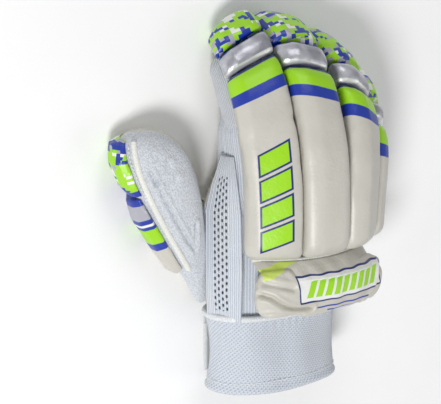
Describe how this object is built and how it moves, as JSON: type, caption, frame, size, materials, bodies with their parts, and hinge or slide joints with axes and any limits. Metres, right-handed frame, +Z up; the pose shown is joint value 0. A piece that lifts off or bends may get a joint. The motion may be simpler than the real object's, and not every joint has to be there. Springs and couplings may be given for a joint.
{
  "type": "cricket batting glove",
  "caption": "Right-hand cricket batting glove with padded finger rolls, padded fingertips and thumb, mesh side panel, wrist roll and knitted wristband.",
  "frame": {"origin": "middle of the box around the glove, on the surface it lies on", "axes": "+X from the thumb side to the little finger, +Y from the wrist to the fingertips, +Z up through the back of the hand"},
  "size_m": [0.1908, 0.231, 0.0767],
  "materials": {
    "ivory_pad": "smooth ivory coated leather, faintly grained, with printed bands",
    "silver_pad": "silver coated leather with a satin shine",
    "printed_pad": "coated leather printed with lime, blue, white and grey blotches",
    "palm_leather": "matte pale leather with soft creases",
    "hand_cloth": "white knit cloth",
    "towelling": "white towelling with soft wrinkles",
    "mesh_knit": "ribbed knit with eyelets",
    "cuff_knit": "cool white knit with diagonal ribs",
    "strap_cloth": "white cloth strap",
    "hook_patch": "black hook pile"
  },
  "bodies": {
    "root": {"index_roll": "ivory_pad", "index_knuckle": "silver_pad", "index_tip": "printed_pad", "index_stall": "palm_leather", "middle_roll": "ivory_pad", "middle_knuckle": "silver_pad", "middle_tip": "printed_pad", "middle_stall": "palm_leather", "ring_roll": "ivory_pad", "ring_knuckle": "silver_pad", "ring_tip": "printed_pad", "ring_stall": "palm_leather", "little_roll": "ivory_pad", "little_knuckle": "silver_pad", "little_tip": "printed_pad", "little_stall": "palm_leather", "hand_body": "hand_cloth", "thumb_stall": "towelling", "thumb_guard": "ivory_pad", "thumb_tip": "printed_pad", "mesh_gusset": "mesh_knit", "wrist_roll": "ivory_pad", "roll_welt": "ivory_pad", "wristband": "cuff_knit", "wrist_strap": "strap_cloth", "strap_patch": "hook_patch", "palm_patch": "palm_leather", "index_patch": "palm_leather", "index_patch_low": "palm_leather"}
  },
  "joints": []
}
